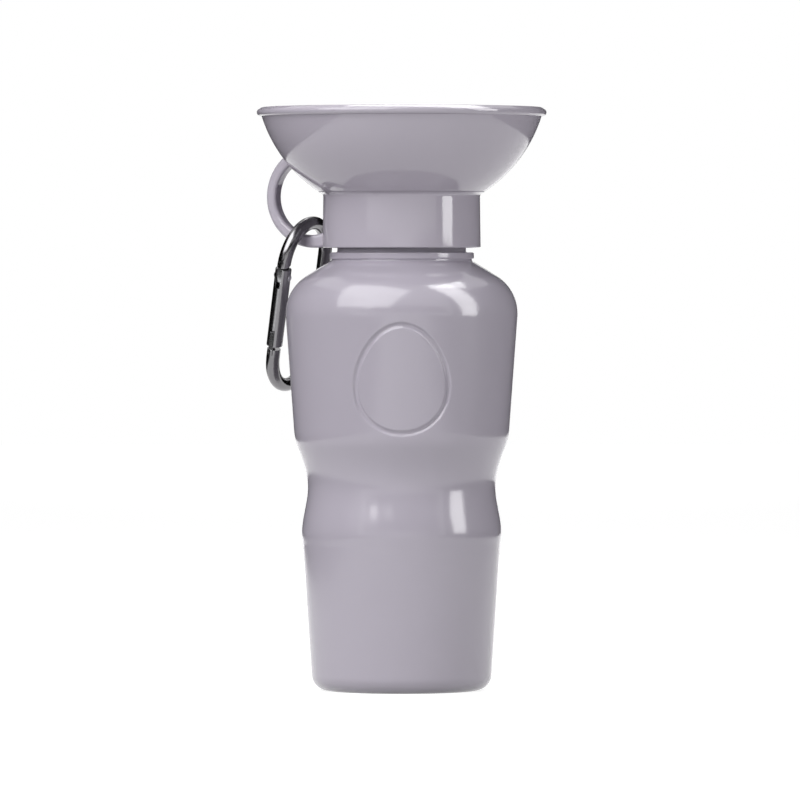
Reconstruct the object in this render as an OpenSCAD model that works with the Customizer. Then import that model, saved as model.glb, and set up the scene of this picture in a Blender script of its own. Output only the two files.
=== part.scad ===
// Travel water bottle for a dog: a squeeze bottle with a screw-on drinking bowl, a carry loop
// and a carabiner. Millimetres. +Z is up, the origin is at the middle of the base, the front
// faces -Y and the loop points left and slightly back.

/* [Bottle body] */
// Radius of the base above its rounded corner
base_r = 33.3; // [32.5:0.1:34]
// Rounding of the base corner
base_corner = 6; // [4:0.5:7]
// Height of the hollow under the base
base_hollow_h = 3; // [1:0.5:5]
// Radius where the ring that the bottle stands on begins
foot_inner_r = 23.5; // [15:0.5:24.5]
// Radius of the soft crease under the grip
crease_r = 36.9; // [36:0.1:38]
// Height of the crease under the grip
crease_z = 58.2; // [54:0.2:62]
// Radius of the narrowest part of the grip
waist_r = 34.7; // [33:0.1:35.5]
// Height of the narrowest part of the grip
waist_z = 75.2; // [72:0.2:79]
// Radius of the crease over the grip
chest_r = 39.6; // [38.5:0.1:40.5]
// Height of the crease over the grip
chest_z = 93.6; // [91:0.2:95]
// Radius of the body where the shoulder starts
shoulder_r = 42.9; // [42:0.1:44]
// Height where the shoulder starts
shoulder_z = 139.4; // [138:0.1:145]
// Rounding radius of the shoulder
shoulder_round = 16.5; // [14:0.1:17]
// Fall of the cone between the shoulder and the neck, in degrees
shoulder_fall = 32; // [28:1:34]
// Thickness of the bottle's wall
body_wall = 1.6; // [1.2:0.1:2]

/* [Grip groove] */
// Width of the egg-shaped groove on the front
groove_w = 36; // [28:1:38]
// Height of the groove
groove_h = 42; // [34:1:42]
// Height of the middle of the groove
groove_z = 115.6; // [112:0.2:118]
// Width of the groove's own channel
groove_line = 2.2; // [1.5:0.1:3]
// Depth of the groove in the wall
groove_depth = 0.8; // [0.4:0.1:1]

/* [Neck] */
// Outer radius of the neck under its thread
neck_r = 23.8; // [23.5:0.1:24]
// Thickness of the neck's wall
neck_wall = 1.8; // [1.5:0.1:2.2]
// Width of the step at the foot of the neck
neck_foot_w = 2.2; // [1.4:0.1:2.4]
// Height of the step at the foot of the neck
neck_foot_h = 1.1; // [1:0.1:3]
// Distance that the bead stands out from the neck
bead_out = 2.95; // [2.5:0.05:3.2]
// Height of the bead
bead_h = 2.5; // [2:0.1:3]
// Height of the neck above the bead
neck_h = 10.8; // [10.5:0.1:12]

/* [Screw thread] */
// Rise of the thread in one turn
thread_pitch = 4; // [3.5:0.1:4.2]
// Depth of the thread
thread_depth = 1.5; // [1:0.1:1.6]
// Turns of the thread on the neck and in the liner
thread_turns = 1.25; // [1:0.05:1.4]
// Height of the thread's start above the bead
thread_start = 4.4; // [4.2:0.1:4.8]
// Width of the thread at its root
thread_root_w = 1.7; // [1.4:0.1:1.8]
// Width of the thread at its crest
thread_crest_w = 0.9; // [0.6:0.1:1.2]

/* [Collar] */
// Thickness of the threaded liner behind its thread
liner_wall = 1.7; // [1.5:0.05:2]
// Narrowing of the collar towards its top
collar_draft = 0.25; // [0:0.05:0.4]
// Height of the collar
collar_h = 19.8; // [19:0.1:22]
// Thickness of the collar's wall
collar_wall = 1.8; // [1.5:0.05:1.85]
// Gap between the bead and the collar's lower edge
collar_gap = 1.7; // [1.2:0.1:2.2]
// Radius of the fillet between the collar and the bowl
collar_fillet = 1.6; // [1:0.1:2]

/* [Carry loop] */
// Direction of the loop, counted back from the left side, in degrees
loop_back = 23; // [18:1:28]
// Width of the loop's band
loop_w = 6; // [5:0.5:7]
// Outer radius of the loop
loop_outer_r = 19; // [18.4:0.1:19.4]
// Radius of the finger hole in the loop
loop_hole_r = 14.2; // [13.4:0.1:14.4]
// Distance of the loop's centre from the collar's wall
loop_out = 5.3; // [4.6:0.05:5.6]
// Distance of the hole's centre from the loop's centre, outwards
loop_hole_shift = 1.05; // [0.7:0.05:1.5]
// Rounding of the band's edges
loop_edge = 0.9; // [0.5:0.1:1.2]

/* [Bowl] */
// Height of the bowl from the collar to the foot of its lip
bowl_h = 28.8; // [26:0.1:30]
// Distance from the axis to the centre of the underside's round
bowl_off = 2.5; // [2:0.1:3]
// Radius of the bowl under its lip
bowl_rim_r = 51.8; // [51:0.1:52.6]
// Rounding radius of the rolled lip
lip_round = 1.7; // [1.5:0.05:2.2]
// Thickness of the bowl's wall
bowl_wall = 2; // [1.6:0.1:2.3]
// Outer radius of the sleeve under the bowl's floor
sleeve_r = 9.3; // [9:0.1:9.6]
// Radius of the sleeve's bore
sleeve_bore_r = 6.6; // [6.2:0.1:6.8]
// Radius of the orifice at the foot of the sleeve
orifice_r = 3.8; // [3:0.1:4.2]
// Thickness of the sleeve's foot
sleeve_foot_h = 1.5; // [1.2:0.1:2]
// Wall of the ring under the bowl that seats in the collar
spigot_wall = 1.6; // [1.2:0.1:2]

/* [Valve and tube] */
// Thickness of the insert's flange on the neck
flange_h = 1.2; // [1:0.1:1.4]
// Wall of the insert
insert_wall = 1.5; // [1.2:0.1:1.8]
// Depth of the insert's outer skirt in the neck
insert_skirt_h = 8; // [7:0.5:9]
// Depth of the valve chamber under the flange's top
chamber_depth = 14; // [13.5:0.1:15]
// Radius of the six ports in the chamber's floor
port_r = 1.2; // [0.8:0.1:1.3]
// Radius of the post that holds the stopper
post_r = 2.2; // [1.8:0.1:2.6]
// Radius of the stopper
stopper_r = 5; // [4.6:0.1:5.2]
// Thickness of the stopper
stopper_h = 2.6; // [2.2:0.1:3]
// Outer radius of the dip tube
tube_r = 5; // [4:0.1:5.2]
// Wall of the dip tube
tube_wall = 0.8; // [0.6:0.1:1.2]
// Gap between the tube's end and the bottle's floor
tube_gap = 4; // [2:0.5:8]
// Depth of the tube in the insert's socket
socket_h = 10; // [8:0.5:12]
// Thickness of the neck gasket
gasket_h = 1.2; // [1:0.1:1.4]
// Width of the neck gasket
gasket_w = 5; // [4:0.2:6]
// Thickness of the O-rings
oring_w = 1.6; // [1.4:0.1:1.8]
// Radius of the slotted dome in the bowl
dome_r = 11; // [10:0.5:13]
// Height of the slotted dome
dome_h = 4; // [3.5:0.1:5]
// Thickness of the dome
dome_wall = 1.6; // [1.2:0.1:2]
// Depth of the dome's skirt in the sleeve
dome_skirt_h = 5; // [3:0.5:8]
// Slots round the dome
dome_slots = 8; // [6:1:10]
// Width of a slot
dome_slot_w = 1.8; // [1.2:0.1:2.2]
// Height of a slot
dome_slot_h = 1.2; // [0.8:0.1:1.6]

/* [Carabiner] */
// Thickness of the carabiner's rod
rod_d = 5; // [4.6:0.1:5.2]
// Distance between the middles of its two long sides
carabiner_w = 28; // [26:0.5:28.5]
// Length between the middles of the rod at its two ends
carabiner_l = 63.5; // [62:0.5:64]
// Thickness of the gate
gate_d = 6; // [5.6:0.1:6.2]
// Distance of the gate's upper end from the top of the carabiner
gate_top = 14.4; // [14.3:0.1:14.8]
// Length of the straight nose between the gate and the lower bend
nose_l = 4.5; // [4:0.1:6]
// Distance of the rivet from the gate's upper end
rivet_drop = 3.2; // [3.1:0.1:3.4]
// Radius of the rivet's shank
rivet_r = 0.8; // [0.6:0.05:0.9]
// Thickness of the frame's two flat tongues
tongue_t = 2; // [1.6:0.1:2.2]
// Radius of the latch pin
pin_r = 0.6; // [0.5:0.05:0.7]
// Distance of the latch pin from the gate's lower end
pin_rise = 2.6; // [2.4:0.1:2.8]
// Thickness of the spring's wire
spring_wire = 0.35; // [0.3:0.05:0.4]
// Turns of the spring
spring_turns = 9; // [7:1:11]
// Turn of the carabiner's plane from the left-right line, in degrees
hang_turn = 60; // [58:1:62]
// Lean of the carabiner away from the bottle, in degrees
hang_lean = 15.5; // [15.2:0.1:18]
// Tilt of the carabiner in its own plane, in degrees
hang_tilt = 12.5; // [12:0.5:14]
// Distance of the hanging point beyond the loop's centre
hang_out = 2.95; // [2.9:0.05:3.6]
// Height of the rod's middle over the loop's lower band
hang_rise = 4.15; // [4.1:0.05:4.4]

/* [Fits] */
// Gap between pieces that are pressed or screwed together
seat_gap = 0.05; // [0.02:0.01:0.08]
// Gap between faces that seal when the bowl is screwed down
seal_gap = 0.1; // [0.05:0.01:0.15]
// Gap between pieces that slide past each other
slide_gap = 0.3; // [0.25:0.05:0.35]
// Gap round the pins that turn
pin_gap = 0.05; // [0.03:0.01:0.08]

/* [Hidden] */
$fn = 96;

shell_colour = "#b0aab6";
bowl_colour = "#b5afbb";
inner_colour = "#d8d6da";
seal_colour = "#77727a";
metal_colour = "#6b686c";
steel_colour = "#a9a9ad";

// Heights, from the base up
neck_foot_r = neck_r + neck_foot_w;
bead_r = neck_r + bead_out;
cone_top_r = neck_foot_r + 1.1;
chest_foot = [chest_r - 1.2, chest_z - 3.6];
chest_head = [chest_r + 0.25, chest_z + 3.1];
wall_lean = atan((shoulder_r - chest_r) / (shoulder_z - chest_z));
grip_lean = 0.4;
shoulder_end_r = shoulder_r - shoulder_round + shoulder_round * sin(shoulder_fall);
shoulder_end_z = shoulder_z + shoulder_round * cos(shoulder_fall);
neck_z = shoulder_end_z + (shoulder_end_r - cone_top_r) * tan(shoulder_fall);
bead_z = neck_z + neck_foot_h;
bead_top_z = bead_z + bead_h;
neck_top_z = bead_top_z + neck_h;
neck_bore_r = neck_r - neck_wall;
collar_z = bead_top_z + collar_gap;
collar_top_z = collar_z + collar_h;

// Liner and gasket, with the collar round them
thread_gap = slide_gap + 0.1;
liner_bore_r = neck_r + thread_depth + thread_gap;
liner_r = liner_bore_r + liner_wall;
collar_bore_r = liner_r + seat_gap;
collar_r = collar_bore_r + collar_wall;
flange_top_z = neck_top_z + flange_h;
gasket_z = flange_top_z + seal_gap;
roof_z = gasket_z + gasket_h + seal_gap;
roof_h = 1.4;
gasket_r = neck_r - 0.4;

// Round of the bowl, through the collar's top edge and the foot of the lip
bowl_fall = (pow(bowl_rim_r - bowl_off, 2) - pow(collar_r - bowl_off, 2) + pow(bowl_h, 2)) / (2 * bowl_h);
bowl_round = sqrt(pow(collar_r - bowl_off, 2) + pow(bowl_fall, 2));
bowl_cz = collar_top_z + bowl_fall;
lip_z = collar_top_z + bowl_h;

// Loop
loop_reach = collar_r + loop_out;
hang_reach = loop_reach + hang_out;

// Valve
chamber_r = sleeve_r + slide_gap;
chamber_z = flange_top_z - chamber_depth;
stopper_z = chamber_z + 1.2;
sleeve_z = stopper_z + stopper_h + seal_gap;
plenum_h = 2.2;
socket_top_z = chamber_z - insert_wall - plenum_h;
socket_bore_r = tube_r + seat_gap;
tube_top_z = socket_top_z - insert_wall;
seal_land = 0.2;

// Carabiner
rod_r = rod_d / 2;
side_x = carabiner_w / 2;
bow_r = carabiner_w / 2;
gate_end = carabiner_l - bow_r - nose_l;
gate_l = gate_end - gate_top;
rivet_at = gate_top + rivet_drop;
pin_at = gate_end - pin_rise;
slot_w = tongue_t + 2 * 0.2;
tongue_flat = 2;
nose_at = gate_end + 1.2;
spring_bore_r = 1.3;
plunger_r = spring_bore_r - pin_gap;
plunger_at = rivet_at + tongue_flat + seal_gap;
hinge_slot_end = rivet_at + 4.2;
plunger_l = 3.4;
spring_len = 6;

// Points of an arc, from angle a0 to angle a1
function arc(cx, cy, r, a0, a1, n) =
    [for (i = [0:n]) let (a = a0 + (a1 - a0) * i / n) [cx + r * cos(a), cy + r * sin(a)]];

// Points of a smooth curve from p to q, leaving along tp and arriving along tq
function curve(p, tp, q, tq, n) =
    [for (i = [0:n])
        let (t = i / n, s = 1 - t)
        p * (s * s * (1 + 2 * t)) + tp * (t * s * s) + q * (t * t * (1 + 2 * s)) - tq * (t * t * s)];

// All points of a list but its first
function rest(pts) = [for (i = [1:len(pts) - 1]) pts[i]];

// Points of a list in the other order
function backwards(pts) = [for (i = [len(pts) - 1:-1:0]) pts[i]];

// The same outline moved inwards by d, on the left of the way it runs
function inset(pts, d) =
    [for (i = [0:len(pts) - 1])
        let (a = pts[max(i - 1, 0)], b = pts[min(i + 1, len(pts) - 1)], t = (b - a) / norm(b - a))
        pts[i] + d * [-t[1], t[0]]];

// Outside of the bottle from the middle of its base to the foot of the neck
function body_outline() =
    concat(
        curve([0, base_hollow_h], [foot_inner_r, 0], [foot_inner_r, 0], [foot_inner_r / 3, -1], 8),
        arc(base_r - base_corner, base_corner, base_corner, -90, 0, 8),
        curve([crease_r - 0.4, crease_z - 4.6], [0.2, 3], [crease_r, crease_z], [0, 4], 3),
        rest(curve([crease_r, crease_z], [0, waist_z - crease_z],
                   [waist_r, waist_z], [0, waist_z - crease_z], 10)),
        rest(curve([waist_r, waist_z], [0, chest_foot[1] - waist_z],
                   chest_foot, (chest_foot[1] - waist_z) * [grip_lean, 1], 10)),
        rest(curve(chest_foot, (chest_head[1] - chest_foot[1]) * [grip_lean, 1],
                   chest_head, (chest_head[1] - chest_foot[1]) * [tan(wall_lean), 1], 5)),
        arc(shoulder_r - shoulder_round, shoulder_z, shoulder_round, -wall_lean, 90 - shoulder_fall, 12),
        [[cone_top_r, neck_z]]);

// Inside of the bottle, from the middle of its floor to the top of the neck
function body_inside() =
    let (cavity = inset(body_outline(), body_wall), last = cavity[len(cavity) - 1])
    concat([[0, base_hollow_h + body_wall]], rest(cavity),
        [[neck_bore_r, last[1] + (last[0] - neck_bore_r) * tan(shoulder_fall)],
         [neck_bore_r, neck_top_z]]);

// Height of the bowl's underside, or of its inside with the wall as lift, at radius r
function bowl_z(r, lift = 0) = bowl_cz - sqrt(pow(bowl_round - lift, 2) - pow(r - bowl_off, 2));

// Points along the bowl's underside between two radii
function bowl_arc(r0, r1, lift, n) =
    let (a0 = asin((r0 - bowl_off) / (bowl_round - lift)), a1 = asin((r1 - bowl_off) / (bowl_round - lift)))
    arc(bowl_off, bowl_cz, bowl_round - lift, a0 - 90, a1 - 90, n);

// Egg outline, widest a little below its middle
function egg(w, h, n) =
    [for (i = [0:n - 1]) let (a = 360 * i / n) [w / 2 * cos(a) * (1 - 0.12 * sin(a)), h / 2 * sin(a)]];

// A thread ridge on a wall: root and crest are radii, and it fades in and out at its ends
module thread_ridge(root, crest, z0) {
    steps = round(thread_turns * 24);
    points = [for (i = [0:steps])
        let (a = thread_turns * 360 * i / steps,
             z = z0 + thread_pitch * thread_turns * i / steps,
             fade = min(1, (i + 0.5) / 2, (steps - i + 0.5) / 2),
             top = root + (crest - root) * fade)
        for (p = [[root, -thread_root_w / 2], [top, -thread_crest_w / 2],
                  [top, thread_crest_w / 2], [root, thread_root_w / 2]])
            [p[0] * cos(a), p[0] * sin(a), z + p[1]]];
    sides = [for (i = [0:steps - 1], j = [0:3])
        let (a = i * 4 + j, b = i * 4 + (j + 1) % 4)
        [a, a + 4, b + 4, b]];
    faces = concat([[0, 1, 2, 3]], sides, [[for (j = [3:-1:0]) steps * 4 + j]]);
    polyhedron(points, crest > root ? [for (f = faces) backwards(f)] : faces, convexity = 6);
}

// Round ring with a round section
module o_ring(inner_r) {
    rotate_extrude() translate([inner_r + oring_w / 2, 0]) circle(d = oring_w, $fn = 32);
}

// Groove for an O-ring in the outside of a round wall
module o_ring_groove(wall_r, inner_r) {
    difference() {
        cylinder(r = wall_r + 1, h = oring_w + 2 * seal_land, center = true);
        cylinder(r = inner_r, h = oring_w + 3 * seal_land, center = true);
    }
}

// Bottle: thin round shell with neck, bead, thread and the egg-shaped groove on its front
module squeeze_bottle() {
    color(shell_colour) {
        difference() {
            rotate_extrude()
                polygon(concat(
                    body_outline(),
                    [[neck_foot_r, neck_z + 0.4], [neck_foot_r, bead_z],
                     [bead_r, bead_z + 0.3], [bead_r, bead_top_z - 0.3], [bead_r - 0.3, bead_top_z],
                     [neck_r, bead_top_z], [neck_r, neck_top_z - 0.4], [neck_r - 0.4, neck_top_z]],
                    backwards(body_inside())));
            difference() {
                translate([0, 0, groove_z]) rotate([90, 0, 0]) linear_extrude(shoulder_r + 1)
                    difference() {
                        polygon(egg(groove_w, groove_h, 48));
                        polygon(egg(groove_w - 2 * groove_line, groove_h - 2 * groove_line, 48));
                    }
                rotate_extrude()
                    polygon(concat([[0, base_corner]], inset(groove_wall(), groove_depth), [[0, shoulder_z]]));
            }
        }
        thread_ridge(neck_r - 0.2, neck_r + thread_depth, bead_top_z + thread_start);
    }
}

// The stretch of the bottle's outside that the groove lies on
function groove_wall() = [for (p = body_outline()) if (p[1] > waist_z && p[1] <= shoulder_z) p];

// Plug in the neck: flange, skirt, valve chamber with six ports and a post, and the tube's socket
module neck_insert() {
    hub_r = chamber_r + insert_wall;
    skirt_r = neck_bore_r - seat_gap;
    skirt_inner_r = neck_bore_r - oring_w - 1.1;
    skirt_z = neck_top_z - insert_skirt_h;
    color(inner_colour)
    difference() {
        union() {
            rotate_extrude()
                polygon([[0, chamber_z - insert_wall], [hub_r - insert_wall - 1, chamber_z - insert_wall],
                         [hub_r - insert_wall - 1, socket_top_z], [socket_bore_r - 0.8, socket_top_z],
                         [socket_bore_r - 0.8, tube_top_z], [socket_bore_r, tube_top_z],
                         [socket_bore_r, tube_top_z - socket_h], [socket_bore_r + insert_wall, tube_top_z - socket_h],
                         [socket_bore_r + insert_wall, tube_top_z], [hub_r - 0.6, socket_top_z],
                         [hub_r, socket_top_z + 0.6], [hub_r, neck_top_z],
                         [skirt_inner_r, neck_top_z], [skirt_inner_r, skirt_z],
                         [skirt_r - 0.4, skirt_z], [skirt_r, skirt_z + 0.6],
                         [skirt_r, neck_top_z + seat_gap], [gasket_r, neck_top_z + seat_gap],
                         [gasket_r, flange_top_z], [chamber_r, flange_top_z],
                         [chamber_r, chamber_z], [0, chamber_z]]);
            translate([0, 0, chamber_z]) cylinder(r = post_r + 1, h = stopper_z - chamber_z);
            translate([0, 0, chamber_z]) cylinder(r = post_r, h = stopper_z - chamber_z + stopper_h - 0.8);
        }
        for (a = [0:60:300])
            rotate([0, 0, a]) translate([(post_r + 1 + chamber_r) / 2, 0, chamber_z - insert_wall - 1])
                cylinder(r = port_r, h = insert_wall + 2, $fn = 32);
        translate([0, 0, (skirt_z + neck_top_z) / 2])
            o_ring_groove(skirt_r, neck_bore_r - oring_w);
    }
}

// O-ring between the insert's skirt and the neck
module insert_seal() {
    color(seal_colour)
    translate([0, 0, neck_top_z - insert_skirt_h / 2]) o_ring(neck_bore_r - oring_w);
}

// Tube from the insert down to the floor of the bottle, cut to a shallow fork at its foot
module dip_tube() {
    foot_z = base_hollow_h + body_wall + tube_gap;
    color(inner_colour)
    difference() {
        translate([0, 0, foot_z]) cylinder(r = tube_r, h = tube_top_z - foot_z);
        translate([0, 0, foot_z - 1]) cylinder(r = tube_r - tube_wall, h = tube_top_z - foot_z + 2);
        translate([-tube_r - 1, -tube_r / 2, foot_z - 1]) cube([2 * tube_r + 2, tube_r, tube_wall + 3]);
    }
}

// Soft disc on the insert's post, which closes the sleeve's orifice
module stopper() {
    color(seal_colour)
    difference() {
        translate([0, 0, stopper_z]) rotate_extrude()
            polygon([[0, 0], [stopper_r - 0.5, 0], [stopper_r, 0.5], [stopper_r, stopper_h - 0.5],
                     [stopper_r - 0.5, stopper_h], [0, stopper_h]]);
        translate([0, 0, stopper_z - 1]) cylinder(r = post_r + seat_gap, h = stopper_h - 0.8 + seat_gap + 1);
    }
}

// Flat ring between the insert's flange and the liner's roof
module neck_gasket() {
    color(seal_colour)
    translate([0, 0, gasket_z])
    difference() {
        cylinder(r = gasket_r, h = gasket_h);
        translate([0, 0, -1]) cylinder(r = gasket_r - gasket_w, h = gasket_h + 2);
    }
}

// Inner ring with the thread that turns on the neck, and a roof over the gasket
module threaded_liner() {
    foot_z = collar_z + 0.8;
    color(inner_colour) {
        rotate_extrude()
            polygon([[liner_bore_r, foot_z], [liner_r - 0.4, foot_z], [liner_r, foot_z + 0.4],
                     [liner_r, roof_z + roof_h], [gasket_r - gasket_w - 1, roof_z + roof_h],
                     [gasket_r - gasket_w - 1, roof_z], [liner_bore_r, roof_z]]);
        thread_ridge(liner_bore_r + 0.2, neck_r + thread_gap,
                     bead_top_z + thread_start + thread_pitch / 2);
    }
}

// Collar that carries the bowl, with the flat carry loop on its side
module collar() {
    top_r = collar_r - collar_draft;
    seat_r = top_r + collar_fillet;
    color(shell_colour)
    difference() {
        union() {
            rotate_extrude()
                polygon(concat(
                    [[collar_bore_r, collar_z + 0.3], [collar_bore_r + 0.3, collar_z],
                     [collar_r - 0.5, collar_z], [collar_r, collar_z + 0.5]],
                    arc(seat_r, collar_top_z - 0.6, collar_fillet, 180, 105, 6),
                    [[seat_r, bowl_z(seat_r) + 1], [collar_bore_r, bowl_z(collar_bore_r) + 1]]));
            rotate([0, 0, 180 - loop_back]) carry_loop();
        }
        rotate_extrude()
            polygon(concat([[0, bowl_z(bowl_off) - seat_gap]],
                [for (p = bowl_arc(bowl_off, bowl_rim_r, 0, 24)) p - [0, seat_gap]],
                [[bowl_rim_r, bowl_cz], [0, bowl_cz]]));
    }
}

// Flat band with an off-centre hole, from the wall of the collar to the bowl's underside
module carry_loop() {
    loop_z = collar_z + loop_outer_r;
    difference() {
        translate([loop_reach, 0, loop_z]) rotate([90, 0, 0])
        difference() {
            rotate_extrude()
                polygon([[0, -loop_w / 2], [loop_outer_r - loop_edge, -loop_w / 2],
                         [loop_outer_r - 0.3 * loop_edge, -loop_w / 2 + 0.3 * loop_edge],
                         [loop_outer_r, -loop_w / 2 + loop_edge], [loop_outer_r, loop_w / 2 - loop_edge],
                         [loop_outer_r - 0.3 * loop_edge, loop_w / 2 - 0.3 * loop_edge],
                         [loop_outer_r - loop_edge, loop_w / 2], [0, loop_w / 2]]);
            translate([loop_hole_shift, 0, 0]) rotate_extrude()
                polygon([[0, -loop_w / 2 - 1], [loop_hole_r + loop_edge, -loop_w / 2 - 1],
                         [loop_hole_r + loop_edge, -loop_w / 2],
                         [loop_hole_r + 0.3 * loop_edge, -loop_w / 2 + 0.3 * loop_edge],
                         [loop_hole_r, -loop_w / 2 + loop_edge], [loop_hole_r, loop_w / 2 - loop_edge],
                         [loop_hole_r + 0.3 * loop_edge, loop_w / 2 - 0.3 * loop_edge],
                         [loop_hole_r + loop_edge, loop_w / 2],
                         [loop_hole_r + loop_edge, loop_w / 2 + 1], [0, loop_w / 2 + 1]]);
        }
        translate([0, 0, collar_z - 5]) cylinder(r = collar_r - collar_wall / 2, h = collar_h * 3);
    }
}

// Bowl with rolled lip, floor hole, seat ring and the sleeve that lets the water in
module bowl() {
    groove_z0 = sleeve_z + sleeve_foot_h + 2;
    spigot_r = collar_bore_r - seat_gap;
    color(bowl_colour)
    difference() {
        union() {
            rotate_extrude()
                polygon(concat(
                    bowl_arc(sleeve_bore_r + 0.5, bowl_rim_r, 0, 28),
                    arc(bowl_rim_r + 0.1, lip_z + lip_round, lip_round, -80, 100, 10),
                    [[bowl_rim_r - 1.4, lip_z + 2 * lip_round - 0.6]],
                    backwards(bowl_arc(sleeve_bore_r + 0.5, bowl_rim_r - bowl_wall + 0.4, bowl_wall, 28))));
            translate([0, 0, sleeve_z]) cylinder(r = sleeve_r, h = bowl_z(0, bowl_wall) - 0.4 - sleeve_z);
            rotate_extrude()
                polygon([[spigot_r - spigot_wall, roof_z + roof_h + seat_gap],
                         [spigot_r, roof_z + roof_h + seat_gap],
                         [spigot_r, bowl_z(spigot_r) + 0.5], [spigot_r - spigot_wall, bowl_z(spigot_r) + 0.5]]);
        }
        translate([0, 0, sleeve_z + sleeve_foot_h]) cylinder(r = sleeve_bore_r, h = lip_z - sleeve_z);
        translate([0, 0, sleeve_z - 1]) cylinder(r = orifice_r, h = sleeve_foot_h + 2);
        translate([0, 0, groove_z0]) o_ring_groove(sleeve_r, chamber_r - seal_gap - oring_w);
    }
}

// O-ring on the sleeve, which slides in the valve chamber
module sleeve_seal() {
    color(seal_colour)
    translate([0, 0, sleeve_z + sleeve_foot_h + 2]) o_ring(chamber_r - seal_gap - oring_w);
}

// Slotted dome pressed into the floor hole, which breaks the jet of water
module diffuser_cap() {
    skirt_r = sleeve_bore_r - seat_gap;
    rim_z = bowl_z(dome_r, bowl_wall) + seat_gap;
    foot_z = rim_z - dome_skirt_h;
    cap_r = (dome_r * dome_r + dome_h * dome_h) / (2 * dome_h);
    color(bowl_colour)
    difference() {
        union() {
            translate([0, 0, rim_z]) intersection() {
                translate([0, 0, dome_h - cap_r]) sphere(r = cap_r);
                cylinder(r = dome_r, h = dome_h + 1);
            }
            translate([0, 0, foot_z]) cylinder(r = skirt_r, h = dome_skirt_h + dome_h / 4);
        }
        translate([0, 0, foot_z - 1]) cylinder(r = skirt_r - dome_wall * 0.75, h = 1 + dome_skirt_h + dome_h - dome_wall);
        for (i = [0:dome_slots - 1])
            rotate([0, 0, (i + 0.5) * 360 / dome_slots])
                translate([skirt_r - dome_wall * 1.5, -dome_slot_w / 2, rim_z + dome_h / 5])
                    cube([dome_r, dome_slot_w, dome_slot_h]);
    }
}

// Puts a piece drawn in the carabiner's own frame where it hangs: X across, Y out of its plane,
// Z up along it, with the middle of the rod's top at the origin
module hang() {
    band_z = collar_z + loop_outer_r - loop_hole_r;
    rotate([0, 0, 180 - loop_back]) translate([hang_reach, 0, band_z + hang_rise])
        rotate([0, 0, loop_back - 180 + hang_turn]) rotate([hang_lean, 0, 0]) rotate([0, -hang_tilt, 0])
            children();
}

// Half ring of the rod, round the origin, above the X axis
module bow() {
    rotate([90, 0, 0]) rotate_extrude(angle = 180) translate([bow_r, 0]) circle(r = rod_r, $fn = 48);
}

// Bent rod with a flat tongue for the gate's hinge and a hooked one for its latch
module carabiner_frame() {
    color(metal_colour) hang()
    difference() {
        union() {
            difference() {
                union() {
                    translate([0, 0, -bow_r]) bow();
                    translate([side_x, 0, -carabiner_l + bow_r])
                        cylinder(r = rod_r, h = carabiner_l - 2 * bow_r, $fn = 48);
                    translate([0, 0, -carabiner_l + bow_r]) rotate([0, 180, 0]) bow();
                    translate([-side_x, 0, -carabiner_l + bow_r])
                        cylinder(r = rod_r, h = carabiner_l - bow_r - nose_at, $fn = 48);
                }
                // The rod's end over the gate is cut at a slant, so that the gate's corner can turn
                translate([-side_x, 0, -gate_top + 1.1]) rotate([0, -20, 0])
                    translate([-rod_d, -rod_d, -4]) cube([2 * rod_d, 2 * rod_d, 4]);
            }
            // Hinge tongue
            translate([-side_x, 0, 0]) rotate([90, 0, 0])
                linear_extrude(tongue_t, center = true)
                    polygon([[-rod_r + 0.2, -gate_top + 3], [-rod_r + 0.2, -rivet_at], [-1.9, -rivet_at - tongue_flat],
                             [1.9, -rivet_at - tongue_flat], [rod_r - 0.2, -rivet_at], [rod_r - 0.2, -gate_top + 3]]);
            // Latch tongue: a neck on the outer side with a head that hooks over the pin
            translate([-side_x, 0, 0]) rotate([90, 0, 0])
                linear_extrude(tongue_t, center = true)
                    polygon([[-rod_r + 0.1, -nose_at - 2], [-rod_r + 0.1, -pin_at + 3], [-rod_r + 0.7, -pin_at + 3.6],
                             [0.6, -pin_at + 3.6], [1.2, -pin_at + 3], [1.2, -pin_at + 1.2],
                             [-1.1, -pin_at + 1.2], [-1.1, -nose_at + 0.6], [1.6, -nose_at - 2]]);
        }
        translate([-side_x, 0, -rivet_at]) rotate([90, 0, 0])
            cylinder(r = rivet_r + pin_gap, h = rod_d, center = true, $fn = 32);
    }
}

// Round bar with a slot at each end, a rivet hole, a pin hole and a bore for the spring
module carabiner_gate() {
    color(metal_colour) hang()
    difference() {
        translate([-side_x, 0, -gate_end])
            rotate_extrude() polygon([[0, 0], [gate_d / 2 - 0.4, 0], [gate_d / 2, 0.4], [gate_d / 2, gate_l - 0.4],
                                      [gate_d / 2 - 0.4, gate_l], [0, gate_l]]);
        translate([-side_x - gate_d, -slot_w / 2, -hinge_slot_end]) cube([2 * gate_d, slot_w, 10]);
        translate([-side_x - gate_d, -slot_w / 2, -gate_end - 1]) cube([2 * gate_d, slot_w, pin_rise + 5]);
        translate([-side_x, 0, -plunger_at - plunger_l - spring_len])
            cylinder(r = spring_bore_r, h = spring_len + plunger_l + 1, $fn = 32);
        for (at = [rivet_at, pin_at])
            translate([-side_x, 0, -at]) rotate([90, 0, 0])
                cylinder(r = (at == pin_at ? pin_r : rivet_r), h = gate_d + 1, center = true, $fn = 32);
    }
}

// Rivet through the gate's cheeks and the frame's tongue, with a low head at each end
module gate_rivet() {
    head_r = rivet_r + 0.45;
    head_h = 0.3;
    color(steel_colour) hang()
    translate([-side_x, 0, -rivet_at]) rotate([90, 0, 0]) rotate_extrude($fn = 48)
        polygon([[0, -gate_d / 2 - head_h], [head_r - 0.3, -gate_d / 2 - head_h], [head_r, -gate_d / 2],
                 [rivet_r, -gate_d / 2], [rivet_r, gate_d / 2], [head_r, gate_d / 2],
                 [head_r - 0.3, gate_d / 2 + head_h], [0, gate_d / 2 + head_h]]);
}

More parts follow.
